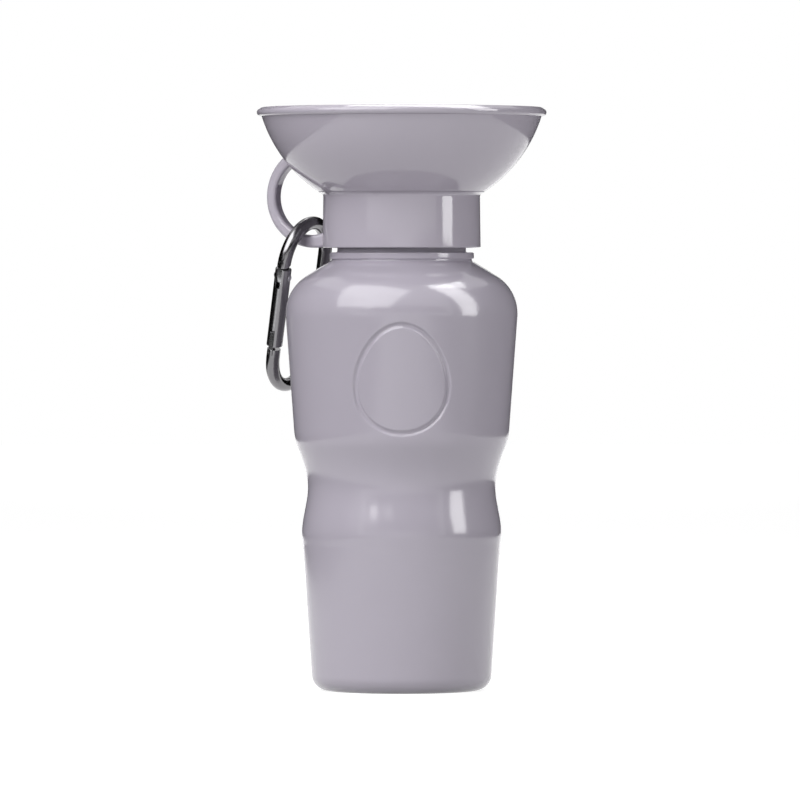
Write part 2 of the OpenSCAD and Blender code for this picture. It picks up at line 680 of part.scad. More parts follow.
// Pin across the gate's lower slot, which the nose hooks
module latch_pin() {
    color(steel_colour) hang()
    translate([-side_x, 0, -pin_at]) rotate([90, 0, 0])
        cylinder(r = pin_r, h = gate_d - 0.6, center = true, $fn = 32);
}

// Pin that the spring pushes against the frame's hinge tongue
module spring_plunger() {
    color(steel_colour) hang()
    translate([-side_x, 0, -plunger_at - plunger_l]) rotate_extrude($fn = 48)
        polygon([[0, 0], [plunger_r, 0], [plunger_r, plunger_l - 0.5], [plunger_r - 0.3, plunger_l], [0, plunger_l]]);
}

// Coil spring under the plunger
module gate_spring() {
    steps = spring_turns * 10;
    coil_r = spring_bore_r - pin_gap - spring_wire / 2;
    ring = [for (j = [0:5]) [cos(60 * j), sin(60 * j)] * spring_wire / 2];
    rise = spring_len - spring_wire - 0.02;
    points = [for (i = [0:steps], p = ring)
        let (a = 36 * i)
        [(coil_r + p[0]) * cos(a), (coil_r + p[0]) * sin(a), spring_wire / 2 + 0.01 + rise * i / steps + p[1]]];
    sides = [for (i = [0:steps - 1], j = [0:5])
        let (a = i * 6 + j, b = i * 6 + (j + 1) % 6)
        [a, a + 6, b + 6, b]];
    color(steel_colour) hang()
    translate([-side_x, 0, -plunger_at - plunger_l - spring_len])
        polyhedron(points, concat([[0, 1, 2, 3, 4, 5]], sides, [[for (j = [5:-1:0]) steps * 6 + j]]));
}

squeeze_bottle();
neck_insert();
insert_seal();
dip_tube();
stopper();
neck_gasket();
threaded_liner();
collar();
bowl();
sleeve_seal();
diffuser_cap();
carabiner_frame();
carabiner_gate();
gate_rivet();
latch_pin();
spring_plunger();
gate_spring();
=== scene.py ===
"""Travel water bottle for a dog: a moulded squeeze bottle, a screw-on drinking bowl with a
carry loop, and a small spring-gate carabiner. Metres. +Z is up and the front faces -Y."""
import math

import bpy
import numpy as np
from mathutils import Matrix, Vector


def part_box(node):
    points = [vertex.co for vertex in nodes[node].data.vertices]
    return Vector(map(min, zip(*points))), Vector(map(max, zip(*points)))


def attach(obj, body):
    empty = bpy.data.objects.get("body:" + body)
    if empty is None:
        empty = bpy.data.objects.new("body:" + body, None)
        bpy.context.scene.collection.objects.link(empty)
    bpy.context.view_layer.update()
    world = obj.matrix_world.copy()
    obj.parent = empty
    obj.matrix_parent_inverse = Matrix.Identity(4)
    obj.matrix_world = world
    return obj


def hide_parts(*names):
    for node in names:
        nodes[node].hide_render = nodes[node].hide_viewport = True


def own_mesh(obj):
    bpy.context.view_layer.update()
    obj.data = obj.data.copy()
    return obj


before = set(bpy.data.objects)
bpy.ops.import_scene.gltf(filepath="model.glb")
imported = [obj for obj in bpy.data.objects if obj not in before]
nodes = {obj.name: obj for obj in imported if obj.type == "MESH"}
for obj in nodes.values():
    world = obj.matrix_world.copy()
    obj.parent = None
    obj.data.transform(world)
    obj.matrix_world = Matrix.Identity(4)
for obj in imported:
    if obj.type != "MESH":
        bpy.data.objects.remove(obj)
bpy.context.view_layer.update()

MM = 0.001
TURN = 2 * math.pi
QUARTER = math.pi / 2
SAME_POINT = 1e-6
SHARP, SHARP_ON_BOTTLE, SHARP_ON_COIL = math.radians(35), math.radians(60), math.radians(50)
ROUNDED_OVER = math.radians(40)


def foot_of(node):
    """Height of a node's lowest point."""
    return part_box(node)[0].z


def head_of(node):
    """Height of a node's highest point."""
    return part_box(node)[1].z


# ---------------------------------------------------------------- bottle body
BASE_R = 33.3 * MM
BASE_CORNER = 6 * MM
BASE_HOLLOW = 3 * MM
FOOT_INNER_R = 23.5 * MM
CREASE_R, CREASE_Z = 36.9 * MM, 58.2 * MM
WAIST_R, WAIST_Z = 34.7 * MM, 75.2 * MM
CHEST_R, CHEST_Z = 39.6 * MM, 93.6 * MM
GRIP_LEAN = 0.4
SHOULDER_R, SHOULDER_Z = 42.9 * MM, 139.4 * MM
SHOULDER_ROUND = 16.5 * MM
SHOULDER_FALL = math.radians(32)
WALL_LEAN = math.atan((SHOULDER_R - CHEST_R) / (SHOULDER_Z - CHEST_Z))
BODY_WALL = 1.6 * MM
FRONT_SPREAD = math.radians(68)
FRONT_STEPS, BACK_STEPS = 150, 130
OUTSIDE_DETAIL, INSIDE_DETAIL = 14, 3

# Grip groove, an upright egg on the front
GROOVE_W, GROOVE_H = 36 * MM, 42 * MM
GROOVE_Z = 115.6 * MM
GROOVE_LINE = 2.3 * MM
GROOVE_EDGE = 0.8 * MM
GROOVE_DEPTH = 0.8 * MM
EGG_TAPER = 0.12
EGG_POINTS = 360

# Neck and its thread
NECK_R, NECK_BORE_R = 23.8 * MM, 22 * MM
NECK_FOOT_R, NECK_FOOT_H = 26 * MM, 1.1 * MM
NECK_STEP, NECK_EDGE = 1.1 * MM, 0.4 * MM
BEAD_R, BEAD_H = 26.75 * MM, 2.5 * MM
BEAD_ROUND = 0.5 * MM
THREAD_PITCH, THREAD_TURNS = 4 * MM, 1.25
THREAD_START, THREAD_DEPTH = 4.4 * MM, 1.5 * MM
THREAD_ROOT_W, THREAD_CREST_W = 1.7 * MM, 0.9 * MM
THREAD_SUNK = 0.2 * MM
THREAD_STEPS = 150

SHOULDER_END_R = SHOULDER_R - SHOULDER_ROUND * (1 - math.sin(SHOULDER_FALL))
SHOULDER_END_Z = SHOULDER_Z + SHOULDER_ROUND * math.cos(SHOULDER_FALL)
NECK_Z = SHOULDER_END_Z + (SHOULDER_END_R - NECK_FOOT_R - NECK_STEP) * math.tan(SHOULDER_FALL)
BEAD_Z = NECK_Z + NECK_FOOT_H
BEAD_TOP = BEAD_Z + BEAD_H
NECK_TOP = head_of("squeeze_bottle")

# ---------------------------------------------------------------- collar and carry loop
COLLAR_R, COLLAR_TOP_R, COLLAR_BORE_R = 29.25 * MM, 29 * MM, 27.45 * MM
COLLAR_H = 19.8 * MM
COLLAR_FILLET, COLLAR_EDGE, COLLAR_BORE_EDGE = 1.8 * MM, 0.5 * MM, 0.3 * MM
COLLAR_STEPS, LOOP_STEPS = 192, 176
COLLAR_Z = foot_of("collar")
COLLAR_TOP = COLLAR_Z + COLLAR_H
LOOP_BACK = math.radians(23)
LOOP_W, LOOP_EDGE = 6 * MM, 1.1 * MM
LOOP_R, LOOP_HOLE_R = 19 * MM, 14.2 * MM
LOOP_REACH, LOOP_HOLE_SHIFT = 34.55 * MM, 1.05 * MM
LOOP_ROOT = 28 * MM
LOOP_Z = COLLAR_Z + LOOP_R

# ---------------------------------------------------------------- bowl
BOWL_H, BOWL_OFF = 28.8 * MM, 2.5 * MM
BOWL_RIM_R, BOWL_WALL = 51.8 * MM, 2 * MM
LIP_ROUND, LIP_OUTER_ROUND, LIP_INNER_ROUND = 1.7 * MM, 1.45 * MM, 1.3 * MM
LIP_OUTER_R, LIP_INNER_R = BOWL_RIM_R + 0.35 * MM, BOWL_RIM_R - 0.25 * MM
SEAT_GAP = 0.05 * MM
RIM_SPAN, COLLAR_SPAN = BOWL_RIM_R - BOWL_OFF, COLLAR_R - BOWL_OFF
BOWL_FALL = (RIM_SPAN ** 2 - COLLAR_SPAN ** 2 + BOWL_H ** 2) / (2 * BOWL_H)
BOWL_ROUND = math.hypot(COLLAR_SPAN, BOWL_FALL)
BOWL_CZ = COLLAR_TOP + BOWL_FALL
LIP_Z = COLLAR_TOP + BOWL_H
SLEEVE_R, SLEEVE_BORE_R, ORIFICE_R = 9.3 * MM, 6.6 * MM, 3.8 * MM
SLEEVE_FOOT_H, SLEEVE_EDGE = 1.5 * MM, 0.3 * MM
SLEEVE_Z = foot_of("bowl")
SEAL_Z = (foot_of("sleeve_seal") + head_of("sleeve_seal")) / 2
SEAL_SEAT_R, SEAL_SEAT_H = 7.9 * MM, 2 * MM
SPIGOT_WALL = 1.6 * MM
SPIGOT_R = COLLAR_BORE_R - SEAT_GAP
SPIGOT_Z = head_of("threaded_liner") + SEAT_GAP
DOME_R, DOME_H, DOME_WALL = 11 * MM, 4 * MM, 1.6 * MM
DOME_SKIRT_H = 5 * MM
DOME_SLOTS, DOME_SLOT_W, DOME_SLOT_H = 8, 1.8 * MM, 1.2 * MM
BOWL_STEPS, BOWL_SPACE_STEPS, DOME_STEPS = 256, 160, 96

# ---------------------------------------------------------------- carabiner
ROD_R, BOW_R, CARABINER_L = 2.5 * MM, 14 * MM, 63.5 * MM
GATE_R, GATE_TOP, NOSE_L = 3 * MM, 14.4 * MM, 4.5 * MM
GATE_END = CARABINER_L - BOW_R - NOSE_L
GATE_L = GATE_END - GATE_TOP
GATE_EDGE = 0.4 * MM
RIVET_AT, RIVET_R = GATE_TOP + 3.2 * MM, 0.8 * MM
PIN_AT, PIN_R = GATE_END - 2.6 * MM, 0.6 * MM
PIN_GAP = 0.05 * MM
NOSE_AT = GATE_END + 1.2 * MM
TONGUE_T, TONGUE_FLAT = 2 * MM, 2 * MM
SLOT_W = TONGUE_T + 0.4 * MM
HINGE_SLOT_END, HINGE_CUT_L = RIVET_AT + 4.2 * MM, 10 * MM
LATCH_SLOT_H = 6.6 * MM
SPRING_BORE_R, SPRING_BORE_L = 1.3 * MM, 8.3 * MM
SLANT, CUT_L = math.radians(20), 4 * MM
ROD_SIDES, BEND_STEPS, GATE_SIDES, BAR_SIDES = 48, 40, 72, 32
HANG_TURN, HANG_LEAN, HANG_TILT = math.radians(60), math.radians(15.5), math.radians(12.5)
HANG_REACH = LOOP_REACH + 2.95 * MM
HANG_RISE = 4.15 * MM


# ---------------------------------------------------------------- drawing by numbers
def arc(cx, cz, r, a0, a1, n):
    """Points of an arc between two angles in degrees."""
    angles = [math.radians(a0 + (a1 - a0) * i / n) for i in range(n + 1)]
    return [(cx + r * math.cos(a), cz + r * math.sin(a)) for a in angles]


def curve(p, tp, q, tq, n):
    """Points of a smooth curve from p to q, leaving along tp and arriving along tq."""
    p, tp, q, tq = Vector(p), Vector(tp), Vector(q), Vector(tq)
    points = []
    for i in range(n + 1):
        t = i / n
        s = 1 - t
        points.append(tuple(p * s * s * (1 + 2 * t) + tp * t * s * s
                            + q * t * t * (1 + 2 * s) - tq * t * t * s))
    return points


def stretch(p, q, n):
    """Evenly spaced points between p and q, without the two ends."""
    return [tuple(Vector(p).lerp(Vector(q), i / n)) for i in range(1, n)]


def inset(points, d):
    """The same outline moved to the left of the way it runs."""
    moved = []
    for i, p in enumerate(points):
        a, b = points[max(i - 1, 0)], points[min(i + 1, len(points) - 1)]
        t = (Vector(b) - Vector(a)).normalized()
        moved.append((p[0] - d * t.y, p[1] + d * t.x))
    return moved


def bowl_z(r, lift=0.0):
    """Height of the bowl's underside at a radius, or of its inside with the wall as lift."""
    return BOWL_CZ - math.sqrt((BOWL_ROUND - lift) ** 2 - (r - BOWL_OFF) ** 2)


def bowl_arc(r0, r1, lift, n):
    """Points along the bowl's underside or inside between two radii."""
    a0, a1 = (math.degrees(math.asin((r - BOWL_OFF) / (BOWL_ROUND - lift))) - 90 for r in (r0, r1))
    return arc(BOWL_OFF, BOWL_CZ, BOWL_ROUND - lift, a0, a1, n)


# ---------------------------------------------------------------- hand tools
def pick(*pieces):
    """Selects these pieces alone and makes the first one active."""
    bpy.ops.object.select_all(action="DESELECT")
    for piece in pieces:
        piece.select_set(True)
    bpy.context.view_layer.objects.active = pieces[0]


def open_piece(name):
    """Names the new primitive and opens it in edit mode with all of it selected."""
    piece = bpy.context.object
    piece.name = piece.data.name = name
    bpy.ops.object.mode_set(mode="EDIT")
    bpy.ops.mesh.select_mode(type="VERT")
    bpy.ops.mesh.select_all(action="SELECT")
    return piece


def close_piece(smooth=SHARP):
    """Merges doubles, turns the faces one way, leaves edit mode and smooths the shading.

    That way is outwards on every piece but the collar's ring, see make_collar."""
    bpy.ops.mesh.select_all(action="SELECT")
    bpy.ops.mesh.remove_doubles(threshold=SAME_POINT)
    bpy.ops.mesh.normals_make_consistent(inside=False)
    bpy.ops.object.mode_set(mode="OBJECT")
    bpy.ops.object.shade_smooth_by_angle(angle=smooth)


def draw(name, points):
    """Starts a piece as one corner and extrudes it along a route of 3-D points."""
    bpy.ops.object.select_all(action="DESELECT")
    bpy.ops.mesh.primitive_circle_add(vertices=3, radius=MM)
    piece = open_piece(name)
    bpy.ops.mesh.merge(type="CENTER")
    bpy.ops.transform.translate(value=points[0])
    for a, b in zip(points, points[1:]):
        bpy.ops.mesh.extrude_vertices_move(TRANSFORM_OT_translate={"value": Vector(b) - Vector(a)})
    return piece


def lathe(name, profile, *sweeps, start=0.0, smooth=SHARP):
    """Turns a profile of (radius, height) round the Z axis in sweeps of (angle, steps)."""
    piece = draw(name, [(r * math.cos(start), r * math.sin(start), z) for r, z in profile])
    bpy.ops.mesh.select_all(action="SELECT")
    for angle, steps in sweeps:
        bpy.ops.mesh.spin(steps=steps, angle=angle, center=(0, 0, 0), axis=(0, 0, 1))
    close_piece(smooth)
    return piece


def plate(name, outline, thickness):
    """A flat plate: an outline in the XZ plane, filled and pulled out along Y about its middle."""
    piece = draw(name, [(x, -thickness / 2, z) for x, z in outline + outline[:1]])
    bpy.ops.mesh.select_all(action="SELECT")
    bpy.ops.mesh.remove_doubles(threshold=SAME_POINT)
    bpy.ops.mesh.edge_face_add()
    bpy.ops.mesh.extrude_region_move(TRANSFORM_OT_translate={"value": (0, thickness, 0)})
    close_piece()
    return piece


def block(size, at, turn=(0, 0, 0)):
    """A box to carve with."""
    bpy.ops.object.select_all(action="DESELECT")
    bpy.ops.mesh.primitive_cube_add(size=1, location=at, rotation=turn, scale=size)
    bpy.ops.object.transform_apply()
    return bpy.context.object


def bar(r, length, at, turn=(0, 0, 0), sides=BAR_SIDES):
    """A round bar to carve with or to shape further."""
    bpy.ops.object.select_all(action="DESELECT")
    bpy.ops.mesh.primitive_cylinder_add(vertices=sides, radius=r, depth=length, location=at,
                                        rotation=turn)
    bpy.ops.object.transform_apply()
    return bpy.context.object


def modify(piece, kind, **settings):
    """Adds a modifier with its settings and applies it."""
    pick(piece)
    modifier = piece.modifiers.new(kind.title(), kind)
    for name, value in settings.items():
        setattr(modifier, name, value)
    bpy.ops.object.modifier_apply(modifier=modifier.name)


def carve(piece, *tools):
    """Cuts each tool out of the piece and clears the tool away."""
    for tool in tools:
        modify(piece, "BOOLEAN", operation="DIFFERENCE", object=tool, solver="EXACT")
        bpy.data.objects.remove(tool)
    bpy.ops.object.shade_smooth_by_angle(angle=SHARP)
    return piece


def soften(piece, width, segments=3):
    """Rounds the piece's edges and smooths its shading."""
    modify(piece, "BEVEL", width=width, segments=segments, limit_method="ANGLE",
           angle_limit=ROUNDED_OVER, use_clamp_overlap=True)
    bpy.ops.object.shade_smooth_by_angle(angle=SHARP)
    return piece


def weld(name, *parts):
    """Joins parts into one named piece."""
    pick(*parts)
    bpy.ops.object.join()
    piece = bpy.context.object
    piece.name = piece.data.name = name
    return piece


def settle(piece, matrix):
    """Moves a piece to its place and keeps that place in its mesh."""
    pick(piece)
    piece.matrix_world = matrix
    bpy.ops.object.transform_apply()
    return piece


def fit(piece, body, node, coat):
    """Gives a finished piece its finish and its body, and hides the solid that it stands for."""
    piece.data.materials.clear()
    piece.data.materials.append(coat)
    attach(piece, body)
    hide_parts(node)


# ---------------------------------------------------------------- bottle
def body_outline(detail):
    """Outside of the bottle from its base's middle to the cone's top, detail points a stretch."""
    crease, waist = (CREASE_R, CREASE_Z), (WAIST_R, WAIST_Z)
    under_crease = (CREASE_R - 0.4 * MM, CREASE_Z - 4.6 * MM)
    chest_foot = (CHEST_R - 1.2 * MM, CHEST_Z - 3.6 * MM)
    chest_head = (CHEST_R + 0.25 * MM, CHEST_Z + 3.1 * MM)
    grip, flare, turn = WAIST_Z - CREASE_Z, chest_foot[1] - WAIST_Z, chest_head[1] - chest_foot[1]
    along_wall = (math.tan(WALL_LEAN) * turn, turn)
    shoulder = arc(SHOULDER_R - SHOULDER_ROUND, SHOULDER_Z, SHOULDER_ROUND,
                   -math.degrees(WALL_LEAN), 90 - math.degrees(SHOULDER_FALL), 2 * detail)
    return (
        curve((0, BASE_HOLLOW), (FOOT_INNER_R, 0), (FOOT_INNER_R, 0), (FOOT_INNER_R / 3, -1 * MM),
              detail)
        + arc(BASE_R - BASE_CORNER, BASE_CORNER, BASE_CORNER, -90, 0, detail)
        + curve(under_crease, (0.2 * MM, 3 * MM), crease, (0, 4 * MM), detail // 2)
        + curve(crease, (0, grip), waist, (0, grip), 2 * detail)[1:]
        + curve(waist, (0, flare), chest_foot, (GRIP_LEAN * flare, flare), 2 * detail)[1:]
        + curve(chest_foot, (GRIP_LEAN * turn, turn), chest_head, along_wall, detail)[1:]
        + stretch(chest_head, shoulder[0], 8 * detail)
        + shoulder
        + [(NECK_FOOT_R + NECK_STEP, NECK_Z)])


def bottle_section():
    """The bottle's whole section: outside, neck with its bead, mouth and inside."""
    outside = body_outline(OUTSIDE_DETAIL)
    neck = (
        [(NECK_FOOT_R + 0.3 * MM, NECK_Z + 0.3 * MM), (NECK_FOOT_R, NECK_Z + 0.7 * MM),
         (NECK_FOOT_R, BEAD_Z)]
        + arc(BEAD_R - BEAD_ROUND, BEAD_Z + BEAD_ROUND, BEAD_ROUND, -90, 0, 5)
        + arc(BEAD_R - BEAD_ROUND, BEAD_TOP - BEAD_ROUND, BEAD_ROUND, 0, 90, 5)
        + [(NECK_R + NECK_EDGE, BEAD_TOP), (NECK_R, BEAD_TOP + NECK_EDGE)]
        + [(NECK_R, NECK_TOP - NECK_EDGE), (NECK_R - NECK_EDGE, NECK_TOP)])
    inside = [p for p in inset(body_outline(INSIDE_DETAIL), BODY_WALL) if p[0] > MM]
    r, z = inside[-1]
    mouth_z = z + (r - NECK_BORE_R) * math.tan(SHOULDER_FALL)
    mouth = [(NECK_BORE_R, mouth_z), (NECK_BORE_R, NECK_TOP)]
    return outside + neck + list(reversed(inside + mouth)) + [(0, BASE_HOLLOW + BODY_WALL)]


def egg(w, h):
    """Points of the groove's middle line, in X and height."""
    angles = [TURN * i / EGG_POINTS for i in range(EGG_POINTS)]
    return np.array([(w / 2 * math.cos(a) * (1 - EGG_TAPER * math.sin(a)),
                      GROOVE_Z + h / 2 * math.sin(a)) for a in angles])


def press_groove(shell):
    """Presses the egg-shaped groove into the front of the shell."""
    middle = egg(GROOVE_W - GROOVE_LINE, GROOVE_H - GROOVE_LINE)
    group = shell.vertex_groups.new(name="groove")
    for corner in shell.data.vertices:
        x, y, z = corner.co
        facing_out = corner.normal.x * x + corner.normal.y * y > 0
        if y > 0 or abs(x) > GROOVE_W or abs(z - GROOVE_Z) > GROOVE_H or not facing_out:
            continue
        distance = np.min(np.hypot(middle[:, 0] - x, middle[:, 1] - z))
        share = min(max((GROOVE_LINE / 2 - distance) / GROOVE_EDGE, 0), 1)
        if share > 0:
            group.add([corner.index], share * share * (3 - 2 * share), "REPLACE")
    modify(shell, "DISPLACE", direction="NORMAL", strength=-GROOVE_DEPTH, mid_level=0,
           vertex_group="groove")


def neck_thread():
    """Right-handed ridge round the neck: its section is screwed upwards and its ends are sunk."""
    z = BEAD_TOP + THREAD_START
    root, crest = NECK_R - THREAD_SUNK, NECK_R + THREAD_DEPTH
    section = [(root, 0, z - THREAD_ROOT_W / 2), (crest, 0, z - THREAD_CREST_W / 2),
               (crest, 0, z + THREAD_CREST_W / 2), (root, 0, z + THREAD_ROOT_W / 2)]
    ridge = draw("neck_thread", section + section[:1])
    close_piece()
    modify(ridge, "SCREW", angle=THREAD_TURNS * TURN, screw_offset=THREAD_PITCH * THREAD_TURNS,
           steps=THREAD_STEPS, render_steps=THREAD_STEPS, axis="Z")
    bpy.ops.object.mode_set(mode="EDIT")
    bpy.ops.mesh.select_all(action="DESELECT")
    bpy.ops.mesh.select_mode(type="EDGE")
    bpy.ops.mesh.select_non_manifold()
    bpy.ops.mesh.fill_holes(sides=4)
    close_piece()
    return ridge


def make_bottle(coat):
    """Moulded shell with its groove and thread."""
    shell = lathe("bottle_shell", bottle_section(),
                  (FRONT_SPREAD, FRONT_STEPS), (TURN - FRONT_SPREAD, BACK_STEPS),
                  start=(FRONT_SPREAD - math.pi) / 2, smooth=SHARP_ON_BOTTLE)
    press_groove(shell)
    bpy.ops.object.shade_smooth_by_angle(angle=SHARP_ON_BOTTLE)
    whole = weld("squeeze_shell", shell, neck_thread())
    fit(whole, "bottle", "squeeze_bottle", coat)


# ---------------------------------------------------------------- collar and loop
def collar_section():
    """Section of the collar's wall, from its bore round its foot to the fillet under the bowl."""
    climb = math.asin((COLLAR_TOP_R - BOWL_OFF) / BOWL_ROUND)
    seat_z = COLLAR_TOP - COLLAR_FILLET * math.tan(math.pi / 4 - climb / 2)
    fillet = [p for p in arc(COLLAR_TOP_R + COLLAR_FILLET, seat_z, COLLAR_FILLET, 180, 90, 18)
              if p[1] < bowl_z(p[0])]
    top = [(r, bowl_z(r) - SEAT_GAP) for r, _ in stretch((fillet[-1][0], 0), (COLLAR_BORE_R, 0), 6)]
    section = (
        [(COLLAR_BORE_R, bowl_z(COLLAR_BORE_R) - SEAT_GAP),
         (COLLAR_BORE_R, COLLAR_Z + COLLAR_BORE_EDGE), (COLLAR_BORE_R + COLLAR_BORE_EDGE, COLLAR_Z)]
        + arc(COLLAR_R - COLLAR_EDGE, COLLAR_Z + COLLAR_EDGE, COLLAR_EDGE, -90, 0, 6)
        + fillet + top)
    return section + section[:1]


def bowl_space():
    """A solid that fills everything above the bowl's underside, to trim the loop with."""
    under = [(r, z - SEAT_GAP) for r, z in bowl_arc(BOWL_OFF, BOWL_RIM_R, 0, 40)]
    under[0] = (0, under[0][1])
    over = [(BOWL_RIM_R, BOWL_CZ), (0, BOWL_CZ)]
    return lathe("bowl_space", under + over, (TURN, BOWL_SPACE_STEPS))


def make_loop():
    """Flat band with an off-centre hole, cut off in the collar's wall and under the bowl."""
    turn = (QUARTER, 0, 0)
    bpy.ops.object.select_all(action="DESELECT")
    bpy.ops.mesh.primitive_circle_add(vertices=LOOP_STEPS, radius=LOOP_R, rotation=turn,
                                      location=(LOOP_REACH, LOOP_W / 2, LOOP_Z))
    bpy.ops.object.transform_apply()
    loop = open_piece("carry_loop")
    bpy.ops.mesh.select_all(action="DESELECT")
    bpy.ops.mesh.primitive_circle_add(vertices=LOOP_STEPS, radius=LOOP_HOLE_R, rotation=turn,
                                      location=(LOOP_REACH + LOOP_HOLE_SHIFT, LOOP_W / 2, LOOP_Z))
    bpy.ops.mesh.select_all(action="SELECT")
    bpy.ops.mesh.bridge_edge_loops()
    bpy.ops.mesh.extrude_region_move(TRANSFORM_OT_translate={"value": (0, -LOOP_W, 0)})
    close_piece()
    soften(loop, LOOP_EDGE, segments=5)
    bpy.ops.object.mode_set(mode="EDIT")
    bpy.ops.mesh.select_all(action="SELECT")
    bpy.ops.mesh.bisect(plane_co=(LOOP_ROOT, 0, 0), plane_no=(1, 0, 0), use_fill=True,
                        clear_inner=True)
    close_piece()
    settle(loop, Matrix.Rotation(math.pi - LOOP_BACK, 4, "Z"))
    return carve(loop, bowl_space())


def make_collar(coat):
    """Smooth collar with the carry loop moulded on.

    Known fault: the ring's faces end up pointing inwards. The loop's point outwards."""
    ring = lathe("collar_ring", collar_section(), (TURN, COLLAR_STEPS))
    fit(weld("collar_with_loop", ring, make_loop()), "bowl", "collar", coat)


# ---------------------------------------------------------------- bowl
def bowl_section():
    """Whole section of the bowl: sleeve, underside with its spigot, rolled lip and inside."""
    lip_top = LIP_Z + 2 * LIP_ROUND
    lip = (arc(LIP_OUTER_R, LIP_Z + LIP_OUTER_ROUND, LIP_OUTER_ROUND, -80, 52, 18)
           + arc(LIP_INNER_R, lip_top - LIP_INNER_ROUND, LIP_INNER_ROUND, 52, 130, 12))
    inner_rim_r = BOWL_RIM_R - BOWL_WALL + 0.3 * MM
    inside = bowl_arc(SLEEVE_BORE_R + 0.5 * MM, inner_rim_r, BOWL_WALL, 44)
    inside.reverse()
    fall = (Vector(inside[1]) - Vector(inside[0])).normalized() * 2 * MM
    roll = curve(lip[-1], (-1.5 * MM, -1.3 * MM), inside[0], tuple(fall), 6)[1:-1]
    seal_foot, seal_head = SEAL_Z - SEAL_SEAT_H / 2, SEAL_Z + SEAL_SEAT_H / 2
    section = (
        [(ORIFICE_R, SLEEVE_Z), (SLEEVE_R - SLEEVE_EDGE, SLEEVE_Z),
         (SLEEVE_R, SLEEVE_Z + SLEEVE_EDGE), (SLEEVE_R, seal_foot),
         (SEAL_SEAT_R, seal_foot), (SEAL_SEAT_R, seal_head), (SLEEVE_R, seal_head)]
        + bowl_arc(SLEEVE_R, SPIGOT_R - SPIGOT_WALL, 0, 10)
        + [(SPIGOT_R - SPIGOT_WALL, SPIGOT_Z), (SPIGOT_R, SPIGOT_Z)]
        + bowl_arc(SPIGOT_R, BOWL_RIM_R, 0, 40)
        + lip + roll + inside
        + [(SLEEVE_BORE_R, inside[-1][1] - 0.4 * MM), (SLEEVE_BORE_R, SLEEVE_Z + SLEEVE_FOOT_H),
           (ORIFICE_R, SLEEVE_Z + SLEEVE_FOOT_H)])
    return section + section[:1]


def make_bowl(coat):
    """Round drinking bowl with its rolled lip."""
    bowl = lathe("drinking_bowl", bowl_section(), (TURN, BOWL_STEPS))
    fit(bowl, "bowl", "bowl", coat)


def make_dome(coat):
    """Low dome over the floor hole, with slots round its foot that let the water out."""
    rim_z = bowl_z(DOME_R, BOWL_WALL) + SEAT_GAP
    foot_z = rim_z - DOME_SKIRT_H
    skirt_r = SLEEVE_BORE_R - SEAT_GAP
    core_r = skirt_r - 0.75 * DOME_WALL
    round_r = (DOME_R ** 2 + DOME_H ** 2) / (2 * DOME_H)
    spread = math.degrees(math.asin(DOME_R / round_r))
    dome = arc(0, rim_z + DOME_H - round_r, round_r, 90 - spread, 90, 20)
    section = (
        [(0, rim_z + DOME_H - DOME_WALL), (core_r, rim_z + DOME_H - DOME_WALL), (core_r, foot_z),
         (skirt_r, foot_z), (skirt_r, rim_z), (DOME_R - 0.2 * MM, rim_z)] + dome)
    cap = lathe("water_dome", section, (TURN, DOME_STEPS))
    for i in range(DOME_SLOTS):
        turn = TURN * (i + 0.5) / DOME_SLOTS
        reach = skirt_r - 1.5 * DOME_WALL + DOME_R / 2
        at = (reach * math.cos(turn), reach * math.sin(turn), rim_z + DOME_H / 5 + DOME_SLOT_H / 2)
        carve(cap, block((DOME_R, DOME_SLOT_W, DOME_SLOT_H), at, (0, 0, turn)))
    fit(cap, "bowl", "diffuser_cap", coat)


# ---------------------------------------------------------------- carabiner
def hang():
    """Where the carabiner hangs: X across it, Y out of its plane, Z along it."""
    side = math.pi - LOOP_BACK
    band_z = LOOP_Z - LOOP_HOLE_R
    return (Matrix.Rotation(side, 4, "Z") @ Matrix.Translation((HANG_REACH, 0, band_z + HANG_RISE))
            @ Matrix.Rotation(HANG_TURN - side, 4, "Z") @ Matrix.Rotation(HANG_LEAN, 4, "X")
            @ Matrix.Rotation(-HANG_TILT, 4, "Y"))


def bent_rod():
    """Round rod bent from the nose round the lower bend, up the spine and over to the gate."""
    lower_z, upper_z = BOW_R - CARABINER_L, -BOW_R
    bpy.ops.object.select_all(action="DESELECT")
    bpy.ops.mesh.primitive_circle_add(vertices=ROD_SIDES, radius=ROD_R,
                                      location=(-BOW_R, 0, -NOSE_AT))
    bpy.ops.object.transform_apply()
    rod = open_piece("bent_rod")
    bpy.ops.mesh.select_mode(type="EDGE")
    bpy.ops.mesh.select_all(action="SELECT")
    bpy.ops.mesh.extrude_region_move(TRANSFORM_OT_translate={"value": (0, 0, lower_z + NOSE_AT)})
    bpy.ops.mesh.spin(steps=BEND_STEPS, angle=math.pi, center=(0, 0, lower_z), axis=(0, 1, 0))
    bpy.ops.mesh.extrude_region_move(TRANSFORM_OT_translate={"value": (0, 0, upper_z - lower_z)})
    bpy.ops.mesh.spin(steps=BEND_STEPS, angle=math.pi, center=(0, 0, upper_z), axis=(0, 1, 0))
    bpy.ops.mesh.select_all(action="DESELECT")
    bpy.ops.mesh.select_mode(type="EDGE")
    bpy.ops.mesh.select_non_manifold()
    bpy.ops.mesh.edge_face_add()
    close_piece()
    return rod


def hinge_tongue():
    """Flat tongue from the rod's upper end into the gate."""
    half, tip = ROD_R - 0.2 * MM, 1.9 * MM
    root_z, tip_z = 3 * MM - GATE_TOP, -RIVET_AT - TONGUE_FLAT
    outline = [(-half, root_z), (-half, -RIVET_AT), (-tip, tip_z),
               (tip, tip_z), (half, -RIVET_AT), (half, root_z)]
    return plate("hinge_tongue", [(x - BOW_R, z) for x, z in outline], TONGUE_T)


